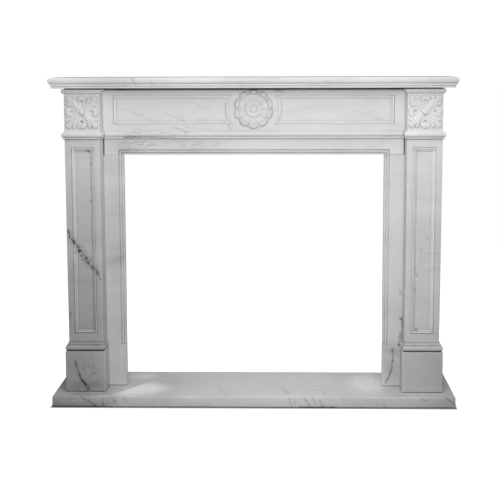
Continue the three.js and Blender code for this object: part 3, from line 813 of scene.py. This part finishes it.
OPENING = {"half": 489.0, "top": 928.0, "stop": 200.0, "slope": 8.0}
OPENING_STEPS = [
    (-1, 9.4), (3, 6.4), (6.6, 6.2), (7.2, 8.4), (9.2, 8.4), (9.8, 3), (14, 2.2), (16.2, 2.4), (16.6, 5.4),
    (18.8, 5.4), (19.6, 0), (22, 0),
]
STEP_STOPS = np.array([
    0, 1, 2, 3, 5, 6, 6.6, 7.2, 8.2, 9.2, 9.8, 12, 14, 16.2, 16.6, 17.7, 18.8, 19.6, 20.5, 22, 23.4, 25,
])
QUIRK_MIDDLES, QUIRK_HALF = (8.2, 17.7), 1.2


def opening_depth(x, z):
    """Depth of the opening's moulding: steps by the distance from the opening's edge, none below the
    sloped stop."""
    inset = np.maximum(np.abs(x) - OPENING["half"], z - OPENING["top"])
    depth = np.interp(inset, *np.transpose(OPENING_STEPS))
    stop = OPENING["stop"] + OPENING["slope"] * (1 - inset / OPENING_STEPS[-1][0])
    return depth * smooth(-0.6, 0.6, z - stop)


def slab_rings(columns, rows, face, back):
    """Rings of an upright slab with its front cut into columns, one ring at each row."""
    ends = np.array([columns[-1], columns[0]])
    x = np.tile(np.concatenate([columns, ends]), (len(rows), 1))
    y = np.tile(np.concatenate([np.full(len(columns), face), [back, back]]), (len(rows), 1))
    return np.stack([x, y, np.tile(rows[:, None], (1, x.shape[1]))], axis=-1)


def slip_rings(columns, rows, face, back, share):
    """Rings of a slip with the opening's moulding cut in its front, and the grime and painted shade, by
    that share, in the moulding's two quirks above its stop."""
    rings = slab_rings(columns, rows, face, back)
    front = rings[:, :len(columns)]
    front[..., 1] += opening_depth(front[..., 0], front[..., 2])
    inset = np.maximum(np.abs(rings[..., 0]) - OPENING["half"], rings[..., 2] - OPENING["top"])
    bands = [np.exp(-((inset - middle) / QUIRK_HALF) ** 2) for middle in QUIRK_MIDDLES]
    return rings, share * (bands[0] + bands[1]) * (rings[..., 2] > OPENING["stop"])


slip_joints = [("Z", 40, 3.0, 0.75), ("X", 565, 2.5, 0.3), ("Z", 928, 2.2, 0.25)]
# Each slip is painted a little darker towards the floor.
slip_looks = {
    "right": dict(
        tone=0.79, shift=(6.4, 1.9, 0.2), turn_deg=-18, painted_shade_towards_floor=(0.16, 0.85),
        stains_and_painted_light=[(0.18, (530, 130), (60, 130))],
        veins=[
            ([(529, 184), (531, 151), (528, 119), (524, 100), (515, 76), (503, 52)], 1.8, 4, 0.42, 0.6),
            ([(563, 300), (564, 260), (562, 221)], 1.8, 2, 0.6, 0.4),
            ([(556, 250), (553, 200)], 2.0, 3, 0.3, 1.4),
            ([(553, 420), (556, 395)], 1.6, 3, 0.3, 0.8),
            ([(558, 305), (564, 302)], 3.4, 1, 0.95),
        ],
    ),
    "left": dict(
        tone=0.76, shift=(0.9, 5.2, 4.1), turn_deg=14, painted_shade_towards_floor=(0.17, 0.85),
        stains_and_painted_light=[(0.22, (-530, 640), (70, 270))],
    ),
}
low, high = extent("right_slip")
columns = np.concatenate([OPENING["half"] + STEP_STOPS, [540, 565, high[0]]])
rows = np.concatenate([
    [low[2], low[2] + 0.5], [120], np.linspace(196, 212, 33), [400, 600, 800, high[2] - 0.3, high[2]],
])
# Grime and painted shade in the quirks of the uprights' moulding.
rings, grime_and_shade = slip_rings(columns, rows, low[1], high[1], 0.15)
for side, sign in SIDES.items():
    stone(
        f"{side}_slip", [skin(on_side(rings, sign), grime_and_shade[:, ::sign])],
        marble(f"{side}_slip_marble", joints=slip_joints, **slip_looks[side]),
    )

head_looks = dict(
    veins=[([(-300, 985), (-255, 962)], 1.8, 6, 0.16)],
    streaks=[(0.38, (-430, 970), (140, 50)), (0.22, (-190, 970), (130, 34))],
    # The wide dark lines at the legs are joints with painted shade in the gap.
    stains_and_painted_light=[(0.16, (-500, 960), (90, 50))], joints=[("X", 565, 6.0, 0.85), ("Z", 928, 1.4, 0.2)],
)
low, high = extent("head_slip")
half_stops = np.concatenate([OPENING["half"] + STEP_STOPS, [540, high[0]]])
columns = np.concatenate([-half_stops[::-1], np.linspace(-460, 460, 24), half_stops])
rows = np.concatenate([[low[2]], (OPENING["top"] + STEP_STOPS)[1:], [high[2] - 0.3, high[2]]])
# The head's quirks face down and take more painted shade than those of the uprights.
rings, grime_and_shade = slip_rings(columns, rows, low[1], high[1], 0.5)
stone(
    "head_slip", [skin(rings, grime_and_shade)],
    marble("head_slip_marble", 0.83, (3.9, 2.2, 5.6), 18, **head_looks),
)


# Frieze
# The slab between the corner blocks. The band moulding runs on along its foot, two panels with
# hollowed inner ends are sunk in it, and a rosette of ten rolled petals is carved in the middle.

FRIEZE_PANEL = {"outer": 525, "bottom": 1042, "top": 1150, "arc": 93, "field": 5.6, "slope": 14}
ROSETTE = {"centre": 1099, "radius": 73, "petals": 10, "notch": 8, "disc": 31, "groove": 16, "button": 12.5}
LENS = {"centre": 0.87, "reach": 0.11, "half": 0.70, "height": 3.6}
# Painted shade round the lens at the tip of each petal.
LENS_SHADE = {"even": 0.1, "above": 0.4, "half": 0.2}
PETAL = {"root": 5.4, "climb": 2.0, "rib": 0.7, "valley": 3.0, "rim": 3.2, "roll": 6.5, "lowest": 1.2}
DISC = {"height": 7.0, "roll": 1.8, "scallop": 1.2, "groove": 5.4, "button": 6.5, "dome": 4}
# A painted highlight along the hollowed arc of each frieze panel.
ARC_HIGHLIGHT, ARC_HIGHLIGHT_HALF = 0.4, 1.6


def petal_side(turn):
    """0 on a petal's middle line and 1 between two petals."""
    place = turn / (2 * math.pi) * ROSETTE["petals"]
    return np.abs(place - np.round(place)) * 2


def rosette_edge(turn):
    """The outline: a circle with a rounded notch between petals."""
    return ROSETTE["radius"] - ROSETTE["notch"] * petal_side(turn) ** 2.6


def rosette_rise(x, z, share, turn):
    """The height: a button in a groove, a scalloped disc, and petals with a soft rib on either side
    that climb outwards, carry a raised lens at the tip and roll down to the rim, with a valley between
    each two."""
    out = np.hypot(x, z)
    side = petal_side(turn)
    disc = ROSETTE["disc"] + DISC["scallop"] * np.cos(turn * ROSETTE["petals"] + math.pi)
    within = np.clip((out - ROSETTE["groove"]) / (disc - ROSETTE["groove"]), 0, 1)
    plate = DISC["height"] + DISC["roll"] * np.sqrt(np.sin(math.pi * within))
    button = DISC["button"] + DISC["dome"] * np.sqrt(np.clip(1 - (out / ROSETTE["button"]) ** 2, 0, 1))
    root = disc / ROSETTE["radius"]
    climb = np.clip((share - root) / (1 - root), 0, 1)
    ribs = PETAL["rib"] * np.exp(-((side - 0.45) / 0.17) ** 2)
    ribs = ribs * smooth(0.05, 0.3, climb) * smooth(0.75, 0.55, climb)
    petal = PETAL["root"] + PETAL["climb"] * climb * (1 - 0.5 * side ** 3) - ribs
    lens = ((share - LENS["centre"]) / LENS["reach"]) ** 2 + (side / LENS["half"]) ** 2
    petal = petal + LENS["height"] * smooth(1.1, 0.6, lens)
    petal = petal - PETAL["valley"] * np.exp(-((1 - side) / 0.11) ** 2) * smooth(0.62, 0.85, share)
    petal = np.minimum(petal, PETAL["rim"] + PETAL["roll"] * np.sqrt(np.clip((1 - share) * 10, 0, 1)))
    height = petal + (plate - petal) * smooth(disc + 2.6, disc - 1.2, out)
    in_groove = smooth(ROSETTE["groove"] + 1.6, ROSETTE["groove"] - 0.8, out)
    height = height + (DISC["groove"] - height) * in_groove
    return np.maximum(np.where(out < ROSETTE["button"], button, height), PETAL["lowest"])


def lens_lines(share, turn):
    """Painted shade round the lens at each petal's tip, most of all on the upper petals."""
    lens = np.hypot((share - LENS["centre"]) / LENS["reach"], petal_side(turn) / LENS["half"])
    depth = np.maximum(LENS_SHADE["even"] + LENS_SHADE["above"] * np.cos(turn), 0)
    return depth * np.exp(-((lens - 1) / LENS_SHADE["half"]) ** 2) * (share < 0.98)


low, high = extent("frieze")
face = high[1] - 40
band_half = SHAFT_INNER - CORNER_INNER_SHARE * BAND["reach"] - GAP
stops = inset_stops(FRIEZE_PANEL["slope"])
outer_stops = (FRIEZE_PANEL["outer"] - stops)[::-1]
half_columns = np.concatenate([
    np.linspace(0, 60, 7), FRIEZE_PANEL["arc"] + stops, np.linspace(130, 500, 24), outer_stops,
    [545, band_half, band_half + 0.02, high[0]],
])
columns = np.concatenate([-half_columns[:0:-1], half_columns])
rows = both_ways(FRIEZE_PANEL["bottom"], FRIEZE_PANEL["top"], stops, 16)
profile = np.concatenate([
    band_profile(low[2]),
    np.column_stack([0 * rows, rows]),
    [(0, high[2] - 0.4), (0, high[2])],
])
rings = slab_rings(columns, profile[:, 1], face, high[1])
front = rings[:, :len(columns)]
bent = np.clip(front[..., 2], FRIEZE_PANEL["bottom"] - 1, FRIEZE_PANEL["top"] + 1) - ROSETTE["centre"]
along_arc = np.sqrt(np.maximum(front[..., 0] ** 2 - bent ** 2, 0)) * np.sign(front[..., 0])
nearness = smooth(500, 130, np.abs(front[..., 0])) * (np.abs(front[..., 0]) > 60)
front[..., 0] += (along_arc - front[..., 0]) * nearness
front[..., 1] -= profile[:, :1] * (np.abs(columns) < band_half + 0.01)
arc_inset = np.hypot(front[..., 0], bent) - FRIEZE_PANEL["arc"]
inset = np.minimum.reduce([
    arc_inset, FRIEZE_PANEL["outer"] - np.abs(front[..., 0]),
    front[..., 2] - FRIEZE_PANEL["bottom"], FRIEZE_PANEL["top"] - front[..., 2],
])
sunk = sunk_depth(np.maximum(inset, 0), FRIEZE_PANEL["field"], FRIEZE_PANEL["slope"])
front[..., 1] += np.where(inset > 0, sunk, 0)
grime_and_shade = np.zeros(rings.shape[:2])
# Painted highlights on the panels' beads and along their hollowed arcs.
grime_and_shade[:, :len(columns)] = bead_highlight(inset) - ARC_HIGHLIGHT * np.exp(-(arc_inset / ARC_HIGHLIGHT_HALF) ** 2) * (inset > -1)
ring_shares = np.concatenate([np.linspace(0.03, 0.76, 44), np.linspace(0.77, 1, 28)])
rosette, rosette_shade = carved_boss(
    0, ROSETTE["centre"], face, rosette_edge, rosette_rise, ring_shares, lens_lines,
)
frieze_looks = dict(
    veins=[
        ([(-494, 1103), (-430, 1078), (-360, 1051)], 2.2, 6, 0.14),
        ([(-338, 1084), (-256, 1055)], 2.0, 6, 0.13),
        ([(-255, 1132), (-162, 1095)], 2.0, 5, 0.12),
        ([(-293, 1029), (-267, 1021), (-250, 1010)], 2.2, 6, 0.28),
        ([(-117, 1053), (-98, 1040), (-80, 1021)], 2.0, 6, 0.25),
        ([(-485, 992), (-400, 996), (-300, 988), (-238, 982)], 3.0, 5, 0.5),
        ([(366, 1094), (430, 1074), (500, 1050)], 2.2, 6, 0.13),
        ([(77, 1166), (110, 1163)], 2.2, 3, 0.4),
    ],
    streaks=[
        (0.30, (-400, 1005), (150, 30)), (0.22, (-250, 1025), (70, 22)), (0.08, (-300, 1090), (240, 60)),
    ],
    # A painted shadow under the shelf, painted light below it, and the dark joints at the legs.
    joints=[("Z", 1178, 13, 0.85), ("Z", 1150, 12, -0.08), ("X", 565, 3.0, 0.4)],
)
stone(
    "frieze", [skin(rings, grime_and_shade), skin(rosette, rosette_shade)],
    marble("frieze_marble", 0.87, (1.7, 3.6, 2.9), 20, **frieze_looks),
)


# Shelf
# The moulded slab on top of the frieze and legs: a bullnose over a set-back band and an ovolo,
# worked on the front and both ends. Its back edge stays square against the wall.

EDGE = {
    "bullnose": 22, "widest": 11, "top": -7, "under": -4, "quirk": -7, "band": -6, "band_height": 7.4,
    "step": -10, "fillet": -9.5, "foot": -15,
}
low, high = extent("mantel_shelf")
nosing = high[2] - EDGE["bullnose"]
widest = high[2] - EDGE["widest"]
band_foot = nosing - EDGE["band_height"]
profile = np.concatenate([
    [(EDGE["foot"], low[2])],
    curve((EDGE["foot"] + 1, low[2] + 0.2), (EDGE["fillet"], low[2] + 4), "level", 5),
    [(EDGE["fillet"], band_foot - 2.2), (EDGE["step"], band_foot - 2), (EDGE["step"], band_foot - 0.6)],
    curve((EDGE["band"] - 1.5, band_foot - 0.4), (EDGE["band"], band_foot + 1.4), "level", 4),
    [(EDGE["band"], nosing - 1.0), (EDGE["quirk"], nosing - 0.9), (EDGE["quirk"], nosing - 0.2)],
    curve((EDGE["under"], nosing), (0, widest), "level", 10),
    curve((0, widest), (EDGE["top"], high[2]), "upright", 10)[1:],
])
shelf_looks = dict(
    veins=[
        ([(-436, 1212), (-430, 1201), (-424, 1194)], 2.0, 4, 0.4),
        ([(-469, 1190), (-455, 1184)], 1.6, 3, 0.25),
        ([(-371, 1204), (-353, 1184)], 1.6, 4, 0.25),
    ],
    # The left end is painted lighter and the middle darker, evening out the lamps' light along the nosing.
    # The pale lines on the top arris, the band and the foot are painted highlights.
    stains_and_painted_light=[(-0.22, (-760, 1200), (220, 90)), (0.10, (90, 1200), (330, 90))],
    joints=[("Z", 1217, 3.0, -0.28), ("Z", 1190, 3.2, -0.2), ("Z", 1180, 3.4, -0.28)],
)
stone(
    "mantel_shelf", [skin(level_slab(low, high, profile))],
    marble("shelf_marble", 0.76, (0.2, 1.4, 6.1), 14, **shelf_looks),
)


# Floor, light and camera
# A pale floor under a white surround, with a painted contact shadow where it meets the hearth. Soft
# lights stand close in front, at and above the shelf, and hang over it, so that the legs grow darker
# downwards. A low one lifts the hearth's front, and one behind and one at each end light the faces
# turned away.

FLOOR_HALF, FLOOR_DROP = 60.0, 0.0006
FLOOR_GREY, FLOOR_SPECKLE, FLOOR_GLOW = 0.84, 0.02, 0.90
CONTACT_REACH, CONTACT_SHADE, END_NARROWING = 0.035, 0.9, 3.0
SURROUND_LIGHT, BACKDROP = 0.13, 1.1
_, high_hearth = extent("hearth_slab")
paint = bpy.data.materials.new("floor_paint")
bench = Bench(paint)
place = bench.node("TexCoord", {}, output="Object")
# A painted contact shadow: the floor's colour and glow darken within a few centimetres of the hearth.
past_end = END_NARROWING * (bench.along("X", place).size() - high_hearth[0] * MM)
past_side = bench.along("Y", place).size() - high_hearth[1] * MM
painted_contact_shadow = past_end.larger(past_side).band(CONTACT_REACH, 0.0)
lit = 1.0 - CONTACT_SHADE * painted_contact_shadow
speckle = FLOOR_GREY + FLOOR_SPECKLE * bench.noise(place, 30.0, 3.0)
floor_colour = bench.node("CombineColor", {}, speckle * lit, speckle * lit, speckle * lit)
glow_colour = bench.node("CombineColor", {}, lit, lit, lit)
bench.node("OutputMaterial", {}, bench.node(
    "BsdfPrincipled", {}, Base_Color=floor_colour, Roughness=0.7, Specular_IOR_Level=0.1,
    Emission_Color=glow_colour, Emission_Strength=FLOOR_GLOW,
))
floor_mesh = bpy.data.meshes.new("floor")
edge = FLOOR_HALF * np.array([(-1, -1, 0), (1, -1, 0), (1, 1, 0), (-1, 1, 0)])
floor_mesh.from_pydata(edge, [], [(0, 1, 2, 3)])
floor_mesh.materials.append(paint)
floor = placed("floor", floor_mesh)
floor.location.z = -FLOOR_DROP
floor.visible_diffuse = False
floor.visible_glossy = False

world = bpy.data.worlds.new("surround")
bpy.context.scene.world = world
bench = Bench(world)
white = (1.0, 1.0, 1.0, 1.0)
lighting = bench.node("Background", {}, white, SURROUND_LIGHT)
backdrop = bench.node("Background", {}, white, BACKDROP)
straight = bench.node("LightPath", {}, output="Is Camera Ray")
bench.node("OutputWorld", {}, bench.node("MixShader", {}, straight, lighting, backdrop))


def soft_light(name, place, aim, width, height, power):
    """A rectangular light at place, turned towards aim, that no view sees."""
    data = bpy.data.lights.new(name, "AREA")
    data.shape = "RECTANGLE"
    data.size, data.size_y = width, height
    data.energy = power
    lamp = placed(name, data)
    lamp.location = place
    lamp.rotation_euler = (Vector(aim) - Vector(place)).to_track_quat("-Z", "Y").to_euler()
    lamp.visible_camera = False


soft_light("front", (0.15, -1.6, 1.3), (0.05, 0, 0.9), 1.4, 0.7, 12.5)
soft_light("upper", (0.0, -1.1, 1.6), (0.0, 0, 1.1), 2.2, 0.4, 3.8)
soft_light("overhead", (0.1, -0.7, 2.2), (0.1, 0, 0.6), 2.0, 0.6, 8.0)
soft_light("low", (0.1, -1.0, 0.24), (0.05, 0, 0.0), 0.9, 0.15, 2.9)
soft_light("behind", (0.2, 1.6, 1.1), (0.0, 0, 0.05), 1.2, 0.5, 9.0)
soft_light("right", (2.4, 0.3, 1.2), (0.7, 0, 0.6), 0.8, 1.0, 6.0)
soft_light("left", (-2.4, 0.3, 1.2), (-0.7, 0, 0.6), 0.8, 1.0, 6.0)

CAMERA_PLACE = (0.11517, -4.92369, 1.26261)
PITCH, YAW, ROLL = 0.14109, -0.0265, 0.00288
LENS_MM, SENSOR_MM = 94.02, 36.0


def camera_matrix(place, pitch, yaw, roll):
    """Columns of the camera's own axes: X to the picture's right, Y up and Z towards the viewer."""
    ahead = np.array([math.sin(yaw) * math.cos(pitch), math.cos(yaw) * math.cos(pitch), -math.sin(pitch)])
    right = np.array([math.cos(yaw), -math.sin(yaw), 0.0])
    down = np.cross(ahead, right)
    across = math.cos(roll) * right + math.sin(roll) * down
    upward = math.sin(roll) * right - math.cos(roll) * down
    matrix = np.eye(4)
    matrix[:3, 0], matrix[:3, 1], matrix[:3, 2], matrix[:3, 3] = across, upward, -ahead, place
    return matrix


camera_data = bpy.data.cameras.new("camera")
camera_data.lens = LENS_MM
camera_data.sensor_width = SENSOR_MM
camera = placed("camera", camera_data)
camera.matrix_world = Matrix(camera_matrix(CAMERA_PLACE, PITCH, YAW, ROLL))
bpy.context.scene.camera = camera
bpy.context.scene.view_settings.view_transform = "Standard"
